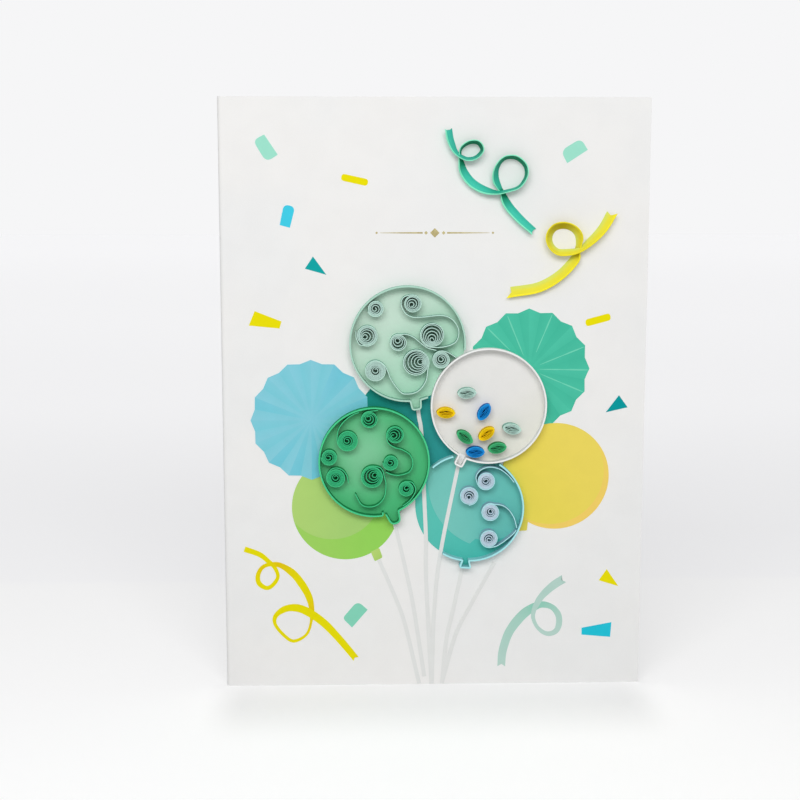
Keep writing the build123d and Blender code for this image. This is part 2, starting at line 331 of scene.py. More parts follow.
def gold_ink():
    """Dull gold ink with a slight metal glint."""
    look = Look("gold_ink", roughness=0.42, specular=0.5)
    look.shader.inputs["Metallic"].default_value = 0.35
    tone = look.mix(look.ramp(look.clouds(900.0), 0.35, 0.65), (196, 184, 132), (178, 164, 112))
    return look.finish(tone, mottle=0.03, fibre=0.006)


def build(name, points, faces, marks, material, node=None, crease=40.0):
    """A mesh piece from points across, up and out, riding with the card."""
    mesh = bpy.data.meshes.new(name)
    mesh.from_pydata([(x * MM, (face_y - out) * MM, up * MM) for x, up, out in points], [], faces)
    chart = mesh.uv_layers.new(name="marks")
    for spot, mark in zip(chart.data, marks):
        spot.uv = mark
    solid = bmesh.new()
    solid.from_mesh(mesh)
    bmesh.ops.recalc_face_normals(solid, faces=solid.faces)
    solid.to_mesh(mesh)
    solid.free()
    mesh.shade_smooth()
    mesh.set_sharp_from_angle(angle=math.radians(crease))
    mesh.materials.append(material)
    piece = add_object(name, mesh)
    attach(piece, "root")
    if node:
        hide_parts(node)
    return piece


def lengths(path):
    """How far along a path each of its points lies."""
    run = [0.0]
    for before, after in zip(path, path[1:]):
        run.append(run[-1] + (after - before).length)
    return run


def sweep(path, sections, closed=False):
    """Points, faces and marks of a solid band along a path.

    Each section lists, for its corners in turn, how far aside and out they reach and their mark across.
    Its second half lies opposite its first, so that the ends close as ladders.
    """
    count = len(path)
    size = len(sections[0])
    run = lengths(path)
    points = []
    for i, centre in enumerate(path):
        if closed:
            along = path[(i + 1) % count] - path[i - 1]
        else:
            along = path[min(i + 1, count - 1)] - path[max(i - 1, 0)]
        side = Vector((-along.y, along.x)).normalized()
        for off, out, across in sections[i]:
            points.append((centre.x + side.x * off, centre.y + side.y * off, out))
    faces = []
    marks = []
    for i in range(count if closed else count - 1):
        after = (i + 1) % count
        end = run[after] if after else run[i] + (path[0] - path[i]).length
        for k in range(size):
            n = (k + 1) % size
            faces.append((i * size + k, i * size + n, after * size + n, after * size + k))
            here, there = sections[i], sections[after]
            marks += [(run[i], here[k][2]), (run[i], here[n][2]), (end, there[n][2]), (end, there[k][2])]
    if not closed:
        for i in (0, count - 1):
            for k in range(size // 2 - 1):
                rung = (k, k + 1, size - 2 - k, size - 1 - k)
                faces.append(tuple(i * size + corner for corner in rung))
                marks += [(run[i], sections[i][corner][2]) for corner in rung]
    return points, faces, marks


def strip(path, thickness, closed=False):
    """A paper strip on edge along a path, whose height says how far its edge is sunk."""
    half = thickness / 2
    low = 1 - strip_bevel / strip_height
    sections = []
    for point in path:
        spot = (unevenness_scale * point.x, unevenness_scale * point.y, 3 * thickness)
        wave = 0.5 + 0.5 * noise.noise(Vector(spot))
        top = strip_height - strip_unevenness * wave - point.to_3d().z
        sections.append([
            (-half, 0, 0), (-half, top - strip_bevel, low), (-half + strip_bevel, top, 1),
            (half - strip_bevel, top, 1), (half, top - strip_bevel, low), (half, 0, 0),
        ])
    return sweep(path, sections, closed)


def free_curve(points, start, finish, steps):
    """Smooth curve through points, in a few steps between each two, with given end directions."""
    tangents = [start.normalized() * (points[1] - points[0]).length]
    for before, after in zip(points, points[2:]):
        tangents.append((after - before) / 2)
    tangents.append(finish.normalized() * (points[-1] - points[-2]).length)
    path = [points[0]]
    for i in range(len(points) - 1):
        for step in range(1, steps + 1):
            t = step / steps
            place = points[i] * (2 * t**3 - 3 * t**2 + 1) + points[i + 1] * (3 * t**2 - 2 * t**3)
            path.append(place + tangents[i] * (t**3 - 2 * t**2 + t) + tangents[i + 1] * (t**3 - t**2))
    return path


def smooth(places, steps):
    """Smooth curve through places."""
    points = [Vector(place) for place in places]
    return free_curve(points, points[1] - points[0], points[-1] - points[-2], steps)


def rounded(corners, radii):
    """Closed outline with its corners rounded, each by its own length."""
    outline = []
    for i, corner in enumerate(corners):
        here = Vector(corner)
        before = (Vector(corners[i - 1]) - here).normalized() * radii[i]
        after = (Vector(corners[(i + 1) % len(corners)]) - here).normalized() * radii[i]
        if radii[i] == 0:
            outline.append(here)
            continue
        for step in range(corner_steps + 1):
            t = step / corner_steps
            outline.append(here + before * (1 - t) ** 2 + after * t**2)
    return outline


class Balloon:
    """A round balloon, with its knot's angle, widths at top and foot, length and rounding."""

    def __init__(self, centre, radius, angle, top, foot, length, rounding, swell=0.0):
        self.centre = Vector(centre)
        self.radius = radius
        self.angle = angle
        self.top = top
        self.foot = foot
        self.length = length
        self.rounding = rounding
        self.swell = swell

    def ring(self, inset):
        """Round part of the outline, drawn in, from the knot's right to its left."""
        ring = self.radius - inset
        turn = math.degrees(math.asin((self.top / 2 - inset) / ring) + 2 * knot_bend / ring)
        count = round((360 - 2 * turn) / arc_step)
        ways = [self.angle + turn + i * (360 - 2 * turn) / count for i in range(count + 1)]
        return [self.centre + polar(way, ring + self.swollen(way)) for way in ways]

    def swollen(self, way):
        """How far the balloon swells out at its upper left."""
        return self.swell * max(0.0, math.cos(math.radians(way - swell_angle))) ** 4

    def neck(self, inset):
        """The knot's part of the outline, from its left to its right."""
        ring = self.ring(inset)
        foot = self.radius + self.length - inset
        half_top = self.top / 2 - inset
        half_foot = self.foot / 2 - inset
        root = math.sqrt((self.radius - inset) ** 2 - half_top**2)
        outwards = polar(self.angle, 1)
        aside = polar(self.angle + 90, 1)
        corners = [(root, -half_top), (foot, -half_foot), (foot, half_foot), (root, half_top)]
        corners = [self.centre + outwards * out + aside * off for out, off in corners]
        reach = min(max(self.rounding, 2 * knot_bend), knot_fill * half_foot)
        radii = [0, knot_bend, reach, reach, knot_bend, 0]
        return rounded([ring[-1]] + corners + [ring[0]], radii)[1:-1]

    def outline(self, inset):
        """Outline of the balloon and its knot, drawn in from the outside."""
        return self.ring(inset) + self.neck(inset)

    def holds(self, point, margin):
        """Whether a point lies in the balloon or its knot, grown by a margin."""
        away = point.to_2d() - self.centre
        if away.length < self.radius + margin:
            return True
        out = away.dot(polar(self.angle, 1))
        off = abs(away.dot(polar(self.angle + 90, 1)))
        share = (out - self.radius) / self.length
        half = self.top / 2 + (self.foot - self.top) / 2 * share
        return 0 < out < self.radius + self.length + margin and off < half + margin

    def spot(self, angle, reach, half_size=cad_strip_thickness / 2):
        """Point at an angle; a reach of 0 is the middle and 1 is against the rim."""
        room = self.radius - rim_thickness - strip_gap - half_size
        return self.centre + polar(angle, reach * room)


def runs(path, keep):
    """The parts of a closed path whose points are kept."""
    kept = [keep(point) for point in path]
    count = len(path)
    start = next(i for i in range(count) if kept[i] and not kept[i - 1])
    found = []
    for i in [(start + k) % count for k in range(count)]:
        if kept[i] and not kept[i - 1]:
            found.append([])
        if kept[i]:
            found[-1].append(path[i])
    return found


def coil(balloon, angle, reach, size, end, winding, hub, lean, snug, loose=loose_pitch):
    """Centreline of a round coil from its outer end's angle to its eye; a winding of 1 is counter-clockwise.

    Its size and snug band are shares of its balloon's radius and its own. The looser turns inside
    the snug band bunch towards the hub's angle, by a lean from 0 to 1. Inner turns are a little sunk.
    """
    radius = size * balloon.radius + coil_spread
    middle = balloon.spot(angle, reach, size * balloon.radius)
    outer = radius - strip_thickness / 2
    depth = 0.0
    turned = 0.0
    path = []
    while outer - depth > coil_eye:
        wobble = coil_wobble * noise.noise(Vector((3 * turned, end, radius))) * min(1, turned)
        point = middle + polar(end + winding * 360 * turned, outer - depth + wobble)
        path.append(Vector((*point, sink * eased([0, 1], min(1, max(0, turned - 0.5))))))
        share = min(1, max(0, (depth - snug * radius) / (0.5 * loose)))
        pitch = snug_pitch + (loose - snug_pitch) * share
        depth += pitch / turn_steps
        middle += polar(hub, lean * (pitch - snug_pitch) / turn_steps)
        turned += 1 / turn_steps
    return path


def curl(wound, tail):
    """Centreline of a wound coil whose outer end runs on along a tail to a free end."""
    points = [wound[0]] + [point.to_3d() for point in tail]
    run = free_curve(points, wound[0] - wound[1], points[-1] - points[-2], tail_steps)
    return wound[:0:-1] + run


def scroll(wound, between, other):
    """Centreline of two coils, wound at the ends of one strip."""
    points = [wound[0]] + [point.to_3d() for point in between] + [other[0]]
    run = free_curve(points, wound[0] - wound[1], other[1] - other[0], tail_steps)
    return wound[:0:-1] + run + other[1:]


def marquise(balloon, angle, reach, tilt):
    """Centreline of a coil pinched at both ends, whose inner end lies waved along its slit."""
    turns = round(2 * (marquise_width / 2 - marquise_eye) / marquise_pitch) / 2
    steps = round(turns * turn_steps)
    place = balloon.spot(angle, reach, marquise_width / 2) - Vector((0, marquise_drop))
    lean = Euler((0, 0, math.radians(tilt))).to_matrix()
    path = []
    rise = []
    for i in range(steps + 1):
        turned = turns * i / steps
        around = 2 * math.pi * turned
        rise.append(slit_rise * turned / turns)
        tightening = 1 - marquise_tightening + marquise_tightening * turned / turns
        inset = marquise_pitch * turned * tightening
        half_length = (marquise_length - marquise_thickness) / 2 - marquise_end_share * inset
        half_width = (marquise_width - marquise_thickness) / 2 - inset
        height = half_width * abs(math.sin(around)) ** pinch * math.copysign(1, math.sin(around))
        well = slit_depth * max(0, turned - turns + 1)
        path.append(Vector((half_length * math.cos(around), height, sink * min(1, turned) + well)))
    first = path[-1]
    for i in range(1, turn_steps // 2):
        share = i / turn_steps
        wave = slit_wave_height * math.sin(2 * slit_waves * math.pi * share)
        path.append(Vector((first.x * (1 - slit_run * share), wave, first.z)))
        rise.append(slit_rise)
    leaning = [lean @ point for point in path]
    return [Vector((place.x + at.x, place.y + at.y + up, at.z)) for at, up in zip(leaning, rise)]


def ink_shape(name, outline, level, look):
    """A printed shape, as a thin solid."""
    count = len(outline)
    points = [(*point, level * layer) for point in outline] + [(*point, -sunk) for point in outline]
    faces = [tuple(range(count)), tuple(range(count, 2 * count))]
    faces += [(i, (i + 1) % count, count + (i + 1) % count, count + i) for i in range(count)]
    marks = [(0, 0)] * sum(len(face) for face in faces)
    build("print_" + name, points, faces, marks, inks[look], crease=30.0)


def circle(centre, radius):
    """Outline of a disc."""
    return [Vector(centre) + polar(i * arc_step, radius) for i in range(round(360 / arc_step))]


def clipped(outline, window):
    """The part of an outline inside a convex counter-clockwise window."""
    for i, start in enumerate(window):
        along = window[(i + 1) % len(window)] - start
        aside = Vector((-along.y, along.x))
        kept = []
        for k, point in enumerate(outline):
            before = outline[k - 1]
            here = aside.dot(point - start)
            there = aside.dot(before - start)
            if (here > 0) != (there > 0):
                kept.append(before + (point - before) * (there / (there - here)))
            if here > 0:
                kept.append(point)
        outline = kept
    return outline


def ink_band(name, path, widths, level, look, shades=(0, 0), rise=0.0, tails=()):
    """A printed line with eased widths and shades; the tails are 0 for its start and 1 for its end."""
    last = len(path) - 1
    sections = []
    for i in range(len(path)):
        far = i / last
        half = eased(widths, far) / 2
        top = (level + rise * far) * layer
        corners = [(-half, -sunk), (0, -sunk), (half, -sunk), (half, top), (0, top), (-half, top)]
        sections.append([(off, out, eased(shades, far)) for off, out in corners])
    points, faces, marks = sweep(path, sections)
    for tail in tails:
        inwards = path[-2] - path[-1] if tail else path[1] - path[0]
        depth = inwards.normalized() * eased(widths, tail) * tail_notch
        for k in (1, 4):
            spot = tail * last * len(corners) + k
            x, up, out = points[spot]
            points[spot] = (x + depth.x, up + depth.y, out)
    build("print_" + name, points, faces, marks, inks[look], crease=30.0)


def eased(values, share):
    """Value at a share of the way along a list of even stations."""
    spot = share * (len(values) - 1)
    first = min(int(spot), len(values) - 2)
    part = spot - first
    return values[first] + (values[first + 1] - values[first]) * part * part * (3 - 2 * part)


def fan(name, centre, valley, first_angle, level):
    """A printed paper fan of pleats, as facets from its middle to its zigzag edge."""
    middle = Vector(centre)
    edge = []
    for i in range(2 * fan_pleats):
        reach = valley if i % 2 else fan_peak
        edge.append(middle + polar(first_angle - i * 180 / fan_pleats, reach))
    count = len(edge)
    points = [(*middle, level * layer)] + [(*point, level * layer) for point in edge]
    points += [(*point, -sunk) for point in edge]
    faces = []
    marks = []
    for i in range(count):
        after = (i + 1) % count
        faces.append((0, 1 + i, 1 + after))
        marks += [(i + 0.5, 0), (i + facet_edge, 1), (i + 1 - facet_edge, 1)]
        faces.append((1 + i, 1 + count + i, 1 + count + after, 1 + after))
        marks += [(i, 1)] * 4
    faces.append(tuple(range(1 + count, 1 + 2 * count)))
    marks += [(0, 1)] * count
    build("print_" + name, points, faces, marks, inks[name], crease=30.0)


def crossings(path, run):
    """Where a path crosses itself, as the lengths at its first and its second pass."""
    found = []
    flat = [point.to_2d() for point in path]
    for i in range(len(flat) - 1):
        for k in range(i + 2, len(flat) - 1):
            if geometry.intersect_line_line_2d(flat[i], flat[i + 1], flat[k], flat[k + 1]):
                found.append((run[i], run[k]))
    return found


def streamer(name, rows, width, outward, skews, material):
    """A curled ribbon on edge that leans outwards, with swallowtail ends, each cut by its own skew.

    The rows are points in from the card's free edge and down from its top edge, the ribbon's lean and
    its painted shade, at the loops' tops and past crossings. Where it crosses itself, the first pass
    lies over the second.
    """
    places = [(card_width / 2 - inset, card_height - drop, lean, shade) for inset, drop, lean, shade in rows]
    path = smooth(places, ribbon_steps)
    run = lengths([point.to_2d() for point in path])
    met = crossings(path, run)
    sections = []
    for point, far in zip(path, run):
        up = math.cos(math.radians(point.z))
        aside = math.sin(math.radians(point.z)) * outward
        lift = max(crossing_lift * math.exp(-((far - over) / crossing_reach) ** 2) for over, under in met)
        cut = max(crossing_cut * math.exp(-((far - under) / crossing_reach) ** 2) for over, under in met)
        front = []
        back = []
        half = ribbon_thickness / 2
        for k in range(ribbon_parts + 1):
            across = k / ribbon_parts
            reach = lift + (width - lift - cut) * across
            bow = ribbon_bow * math.sin(math.pi * across)
            off = (reach - width / 2) * aside + bow * up * outward
            out = max(0, reach * up - bow * abs(aside))
            edge = half * abs(aside) * min(1, ribbon_taper * across)
            front.append((off - half * up * outward, out + edge, across))
            back.append((off + half * up * outward, max(0, out - edge), across))
        sections.append(front + back[::-1])
    points, faces, marks = sweep(path, sections)
    size = len(sections[0])
    ends = ((0, path[1] - path[0], skews[0]), (len(path) - 1, path[-2] - path[-1], skews[1]))
    for station, inwards, skew in ends:
        for k in range(size):
            across = sections[station][k][2]
            depth = inwards.to_2d().normalized() * (notch_depth * (1 - abs(2 * across - 1)) - skew * across)
            x, high, out = points[station * size + k]
            points[station * size + k] = (x + depth.x, high + depth.y, out)
    piece = build(name, points, faces, marks, material, name, crease=50.0)
    # Painted shade per point, read by the ribbon paper
    shades = piece.data.attributes.new("shade", "FLOAT", "POINT")
    for i, point in enumerate(path):
        for k in range(size):
            shades.data[i * size + k].value = min(1.0, max(0.0, point.w))


# Papers: a strip's face, darker than its cut edge as painted shade; its cut edge; and its edge where it is
# sunk, mostly duller as painted shade
paper_colours = {
    "mint": ((150, 200, 180), (178, 218, 200), (178, 218, 200)),
    "grey_mint": ((140, 188, 172), (202, 238, 224), (188, 220, 210)),
    "green": ((36, 150, 92), (76, 208, 144), (58, 188, 128)),
    "light_blue": ((150, 215, 220), (172, 236, 240), (172, 236, 240)),
    "pale_blue": ((150, 190, 205), (188, 242, 246), (208, 226, 242)),
    "white": ((236, 238, 236), (243, 244, 242), (236, 238, 236)),
    "yellow": ((236, 192, 10), (255, 226, 34), (248, 208, 14)),
    "blue": ((12, 105, 185), (36, 168, 240), (24, 142, 222)),
    "leaf_green": ((45, 140, 85), (80, 200, 134), (64, 178, 116)),
}
papers = {name: strip_paper(name + "_paper", *row) for name, row in paper_colours.items()}
# Ribbon colours: foot, middle, painted highlight for the raised edge, painted shade
teal_ribbon = ribbon_paper("teal_ribbon", (45, 180, 160), (60, 200, 175), (142, 247, 206), (0, 132, 94))
yellow_ribbon = ribbon_paper("yellow_ribbon", (214, 224, 105), (234, 224, 56), (250, 236, 44), (186, 168, 0))

# Inks: one colour, or two and the places between which they blend
ink_colours = {
    "dark": ((24, 138, 128), (48, 152, 150), (-20, 82), (6, 76)),
    "lime": ((160, 212, 98), (150, 213, 92), (-38, 50), (-16, 48)),
    "lime_light": ((178, 214, 118), (168, 210, 118), (-42, 60), (-20, 52)),
    "lime_knot": ((186, 216, 118), (172, 210, 104), (-19, 42), (-16, 39)),
    "amber": ((240, 214, 98), (244, 209, 104), (36, 70), (48, 52)),
    "yellow": ((235, 217, 88), (238, 217, 96), (24, 60), (46, 74)),
    "yellow_knot": ((228, 214, 90),),
    "teal": ((92, 196, 182), (78, 190, 178), (0, 60), (20, 42)),
    "teal_light": ((120, 200, 190), (106, 195, 185), (4, 60), (24, 58)),
    "mint": ((204, 228, 212), (180, 225, 200), (-18, 114), (-2, 94)),
    # White disc ink, yellowing to the lower right: painted reflected light from the yellow balloon
    "grey_painted_bounce": ((233, 232, 229), (229, 228, 218), (14, 90), (27, 72)),
    # Whiter ink inside the white knot: painted light against the rim strips' shade
    "white": ((250, 250, 248),),
    "crease": ((112, 212, 182),),
    "string": ((228, 229, 227),),
    "mint_scrap": ((158, 226, 204),),
    "jade_scrap": ((134, 213, 186),),
    "yellow_scrap": ((236, 224, 0),),
    "cyan_scrap": ((64, 205, 230),),
    "sky_scrap": ((34, 196, 218),),
    "teal_scrap": ((12, 165, 165),),
    "deep_teal_scrap": ((0, 152, 156),),
}
inks = {name: ink(name, *row) for name, row in ink_colours.items()}
inks["green"] = round_ink("green", (132, 206, 160), (80, 192, 128), (-20.6, 72.2), 18.0)
inks["blue_fan"] = fan_ink("blue_fan", (138, 207, 222), (116, 203, 216), (92, 194, 217))
inks["green_fan"] = fan_ink("green_fan", (80, 198, 168), (64, 184, 154), (60, 182, 152))
inks["yellow_streamer"] = shaded_ink("yellow_streamer", (232, 221, 0), (228, 198, 14))
inks["mint_streamer"] = shaded_ink("mint_streamer", (184, 214, 204), (146, 206, 186))
inks["gold"] = gold_ink()

# Balloons, with the CAD's own driving dimensions
mint = Balloon((-8.1, 105.7), 17.3, 278, 3.6, 3.0, 2.7, 0.8)
white = Balloon(mint.centre + polar(322.4, 17.3 - 4.0 + 17.4), 17.4, 243, 2.9, 2.8, 2.9, 0.5)
green = Balloon(mint.centre + polar(254.3, 17.3 + 3.0 + 16.7), 16.7, 289.5, 4.4, 3.2, 3.3, 1.3)
teal = Balloon(white.centre + polar(260.2, 17.4 - 2.0 + 16.3), 16.3, 265.5, 2.4, 3.7, 2.2, 0.0, 1.0)
bare_arc = (137.0, 238.0)


def strip_piece(node, path, thickness, paper, closed=False):
    """A strip piece that stands for a CAD node."""
    points, faces, marks = strip(path, thickness, closed)
    build(node + "_strip", points, faces, marks, papers[paper], node)


def rims():
    """The balloons' rims, each cut where another balloon passes in front of it."""
    cut = strip_gap + rim_thickness / 2
    inset = rim_thickness / 2
    mint_run = runs(mint.outline(inset), lambda point: not white.holds(point, cut))[0]
    strip_piece("mint_balloon_rim", mint_run, rim_thickness, "mint")
    strip_piece("white_balloon_rim", white.outline(inset), rim_thickness, "white", closed=True)
    ring = green.ring(inset)[:-1]
    along = (ring[-1] - ring[-2]).normalized()
    inwards = (green.centre - ring[-1]).normalized()
    hook = [ring[-1] + along * on + inwards * off for on, off in rim_hook]
    path = green.neck(inset) + ring[:-1] + smooth([ring[-1]] + hook, 5)
    strip_piece("green_balloon_rim", path, rim_thickness, "green")

    def free(point):
        way = math.degrees(math.atan2(point.y - teal.centre.y, point.x - teal.centre.x)) % 360
        covered = white.holds(point, cut) or green.holds(point, cut)
        return not covered and not bare_arc[0] < way < bare_arc[1]

    arcs = sorted(runs(teal.outline(inset), free), key=len)
    strip_piece("teal_balloon_rim_short", arcs[0], rim_thickness, "light_blue")
    strip_piece("teal_balloon_rim", arcs[-1], rim_thickness, "light_blue")


def wound_path(balloon, first, run=(), second=None):
    """Centreline of a coil, of a curl if it has a run, or of a scroll if it has a second coil."""
    wound = coil(balloon, *first)
    spots = [balloon.spot(*place) for place in run]
    if second:
        return scroll(wound, spots, coil(balloon, *second))
    return curl(wound, spots) if run else wound


def coils(balloon, paper, rows):
    """A balloon's coils, curls and scrolls, stopped where the white balloon passes in front.

    A row has the values of a coil, the spots of its run and the values of a second coil.
    """
    for node, row in rows.items():
        path = [point for point in wound_path(balloon, *row) if not white.holds(point, strip_gap)]
        strip_piece(node, path, strip_thickness, paper)


def mint_coils():
    """Coils and scrolls inside the mint balloon."""
    upper_run = [(94.2, 0.853), (98.5, 0.776), (98.7, 0.667), (92.6, 0.545), (78, 0.496), (58.2, 0.576),
                 (39.9, 0.803), (29.2, 0.913), (18.7, 0.952), (10.7, 0.937), (3, 0.877), (358.6, 0.774),
                 (354.8, 0.622)]
    middle_tail = [(129.2, 0.222), (97.8, 0.178), (50.1, 0.163), (5.2, 0.234), (349, 0.37), (347.7, 0.53)]
    lower_run = [(220, 0.568), (234, 0.611), (245.7, 0.714), (261.8, 0.882), (270.2, 0.907), (280.3, 0.888),
                 (289.6, 0.817), (298.7, 0.715)]
    middle_right = (20, 0.6, 0.209, 266, -1, 270, 1, 0.08)
    lower = (294, 0.48, 0.226, 340, 1, 5, 1, 0.08)
    left_tail = [(180, 0.87), (173, 0.93), (166, 0.96)]
    right_tail = [(348.1, 0.739), (345.6, 0.854), (343.2, 0.97)]
    coils(mint, "grey_mint", {
        "mint_coil_upper_left": ((132, 1, 0.139, 200, 1, 200, 0.5, 0.3),),
        "mint_curl_left": ((168, 0.91, 0.179, 250, 1, 200, 0.9, 0.25), left_tail),
        "mint_scroll_upper": ((83, 0.864, 0.151, 100, -1, 240, 0.6, 0.2), upper_run, middle_right),
        "mint_curl_middle": ((170.6, 0.194, 0.145, 95, 1, 100, 0.9, 0.12), middle_tail),
        "mint_scroll_lower": ((220, 0.92, 0.179, 95, 1, 70, 0.5, 0.5), lower_run, lower),
        "mint_curl_right": ((335, 0.79, 0.151, 90, 1, 90, 0.3, 0.3), right_tail),
    })


def green_coils():
    """Coils and curls inside the green balloon."""
    upper_left_tail = [(138.8, 0.907), (129.4, 0.958), (120.2, 0.985), (112.2, 1), (106.5, 1)]
    lower_left_tail = [(188.4, 0.803), (188.2, 0.707), (193.8, 0.61), (205.5, 0.575), (218.2, 0.62)]
    upper_right_run = [(54, 0.46), (37, 0.48), (24, 0.59), (11, 0.7), (358, 0.73), (345, 0.69), (333, 0.54),
                       (325, 0.4), (321, 0.29)]
    lower_run = [(316, 0.13), (315, 0.23), (306, 0.32), (298, 0.47), (286, 0.69), (275, 0.81), (264, 0.86),
                 (253, 0.84), (239, 0.7)]
    right_tail = [(331.6, 0.82), (327.5, 0.93), (321, 0.975), (312, 1), (303, 1)]
    coils(green, "green", {
        "green_coil_top": ((96, 0.97, 0.150, 95, 1, 120, 0.8, 0.15), [(86, 1)]),
        "green_curl_upper_left": ((140, 0.8, 0.184, 188, 1, 180, 0.4, 0.45), upper_left_tail),
        "green_coil_left": ((173, 1, 0.144, 180, 1, 200, 0.5, 0.35),),
        "green_curl_lower_left": ((202, 0.94, 0.168, 150, 1, 90, 0.4, 0.42), lower_left_tail),
        "green_curl_upper_right": ((53, 0.78, 0.156, 190, -1, 215, 0.8, 0.15), upper_right_run),
        "green_coil_middle": ((359, 0.36, 0.138, 180, 1, 180, 0.3, 0.4),),
        "green_curl_lower": ((262, 0.35, 0.198, 100, 1, 25, 1, 0.18), lower_run),
        "green_curl_right": ((320, 0.92, 0.137, 75, 1, 60, 0.7, 0.4), right_tail),
    })


def teal_coils():
    """Coil and curls inside the teal balloon."""
    upper_tail = [(80.2, 0.658), (75, 0.803), (65.4, 0.909), (54, 0.97), (42.4, 0.99), (31.5, 1)]
    right_tail = [(10.2, 0.491), (5.6, 0.634), (358, 0.755), (348.3, 0.873), (340.3, 0.955), (337.3, 0.99)]
    lower_tail = [(306.3, 0.915), (319.2, 0.945), (330, 0.99), (334.5, 1)]
    coils(teal, "pale_blue", {
        "teal_curl_upper": ((61, 0.755, 0.166, 198, 1, 100, 0.3, 0.4, teal_loose_pitch), upper_tail),
        "teal_coil_middle": ((96, 0.31, 0.171, 270, 1, 250, 0.9, 0.35, teal_loose_pitch),),
        "teal_curl_right": ((350, 0.485, 0.166, 95, 1, 45, 0.5, 0.4, teal_loose_pitch), right_tail),
        "teal_curl_lower": ((302, 0.85, 0.166, 285, -1, 270, 0.7, 0.35, teal_loose_pitch), lower_tail),
    })


def marquises():
    """The white balloon's pinched coils."""
    rows = {
        "mint_upper": (148, 0.52, 2, "grey_mint"),
        "yellow_left": (188, 0.87, -4, "yellow"),
        "blue_middle": (230, 0.14, 55, "blue"),
        "mint_right": (316, 0.65, -12, "grey_mint"),
        "green_left": (232, 0.78, -38, "leaf_green"),
        "yellow_lower": (266, 0.55, 35, "yellow"),
        "green_lower": (282, 0.86, 8, "leaf_green"),
        "blue_lower": (254, 0.96, 0, "blue"),
    }
    for name, (angle, reach, tilt, paper) in rows.items():
        path = marquise(white, angle, reach, tilt)
        strip_piece("marquise_" + name, path, marquise_thickness, paper)


def streamers():
    """The two curled ribbons at the card's upper right."""
    # Rows: inset, drop, lean, and painted shade at loop tops and past crossings
    teal_rows = [
        (59.7, 9.2, 45, 0), (59.0, 12.7, 43, 0), (57.4, 15.7, 38, 0.1), (54.5, 17.8, 23, 0.15),
        (51.7, 17.5, 18, 0.3), (49.8, 15.4, 15, 0.8), (50.9, 13.3, 17, 1), (53.4, 13.1, 17, 1),
        (55.9, 14.7, 19, 0.8), (56.5, 17.0, 26, 0.85), (55.9, 19.3, 41, 0.95), (55.0, 21.9, 55, 0.2),
        (52.7, 24.8, 58, 0), (49.2, 26.8, 47, 0.1), (45.7, 27.4, 31, 0.5), (42.2, 27.1, 15, 0.3),
        (38.8, 25.9, 11, 0.5), (36.8, 22.8, 11, 0.75), (37.2, 19.7, 15, 0.9), (39.9, 17.5, 18, 1),
        (43.2, 17.7, 20, 0.9), (45.3, 20.1, 28, 0.6), (45.8, 23.2, 43, 0.35), (45.0, 26.3, 52, 0.3),
        (44.4, 27.5, 54, 1), (43.4, 29.2, 57, 0.9), (41.3, 32.3, 60, 0.1), (37.9, 35.9, 55, 0),
        (34.2, 39.1, 45, 0),
    ]
    yellow_rows = [
        (11.3, 33.8, 58, 0), (13.9, 38.2, 48, 0), (17.7, 42.1, 36, 0), (21.8, 44.6, 33, 0),
        (26.0, 45.2, 33, 0), (28.1, 44.4, 34, 0), (29.4, 42.8, 37, 0.05), (29.8, 40.9, 41, 0.25),
        (29.3, 39.1, 41, 0.6), (27.9, 37.7, 40, 0.9), (25.8, 37.2, 37, 1), (23.6, 37.6, 34, 0.75),
        (21.8, 38.8, 33, 0.3), (20.8, 40.6, 35, 0.15), (20.5, 43.2, 42, 0.3), (21.1, 45.4, 48, 1),
        (22.3, 47.7, 53, 0.1), (26.6, 52.1, 54, 0), (32.7, 55.5, 60, 0), (40.8, 56.9, 66, 0),
    ]
    streamer("teal_streamer", teal_rows, teal_width, -1, (0, 0), teal_ribbon)
    streamer("yellow_streamer", yellow_rows, yellow_width, 1, (0.8, 1.7), yellow_ribbon)


def discs():
    """Printed discs and fans behind and inside the balloons."""
    lime = circle((-26.8, 55.9), 16.2)
    yellow = circle((36.8, 65.1), 16.3)
    foot = rounded([(-19.2, 42.0), (-16.6, 43.2), (-15.6, 40.2), (-18.0, 39.0)], [0.2, 0.5, 0.5, 0.5])
    stub = rounded([(25.6, 52.0), (28.7, 51.6), (28.4, 48.3), (25.8, 48.2)], [0.2, 0.3, 0.4, 0.2])
    ink_shape("dark_disc", circle((-5.8, 80.0), 18.0), 1, "dark")
    ink_shape("lime_disc", lime, 1, "lime")
    ink_shape("lime_light", clipped(circle((-30.8, 61.1), 15.1), lime), 2, "lime_light")
    ink_shape("lime_knot", foot, 3, "lime_knot")
    ink_shape("yellow_disc", yellow, 3, "amber")
    ink_shape("yellow_light", clipped(circle((35.4, 66.5), 16.2), yellow), 4, "yellow")
    ink_shape("yellow_knot", stub, 5, "yellow_knot")
    fan("blue_fan", blue_fan, 17.2, 90.0, 4)
    fan("green_fan", green_fan, 17.1, 90.5, 2)
    ink_shape("teal_disc", teal.outline(0.0), 6, "teal")
    left = [Vector(corner) for corner in ((-10, 40), (6, 40), (14, 47), (14, 80), (-10, 80))]
    lobes = (circle((16.3, 61.9), 16.5), clipped(circle((18.8, 63.4), 20.6), left))
    for i, lobe in enumerate(lobes):
        ink_shape(f"teal_light_{i + 1}", clipped(lobe, teal.ring(0.1)), 6.6 + 0.4 * i, "teal_light")
    ink_shape("mint_disc", mint.outline(disc_inset), 8, "mint")
    ink_shape("green_disc", green.outline(disc_inset), 10, "green")
    # White disc: its yellowing to the lower right is painted reflected light
    ink_shape("white_disc", white.outline(disc_inset), 9, "grey_painted_bounce")
    # Whiter ink in the knot: painted light against the rim strips' shade
    ink_shape("white_knot_painted_light", white.neck(rim_thickness), 9.5, "white")


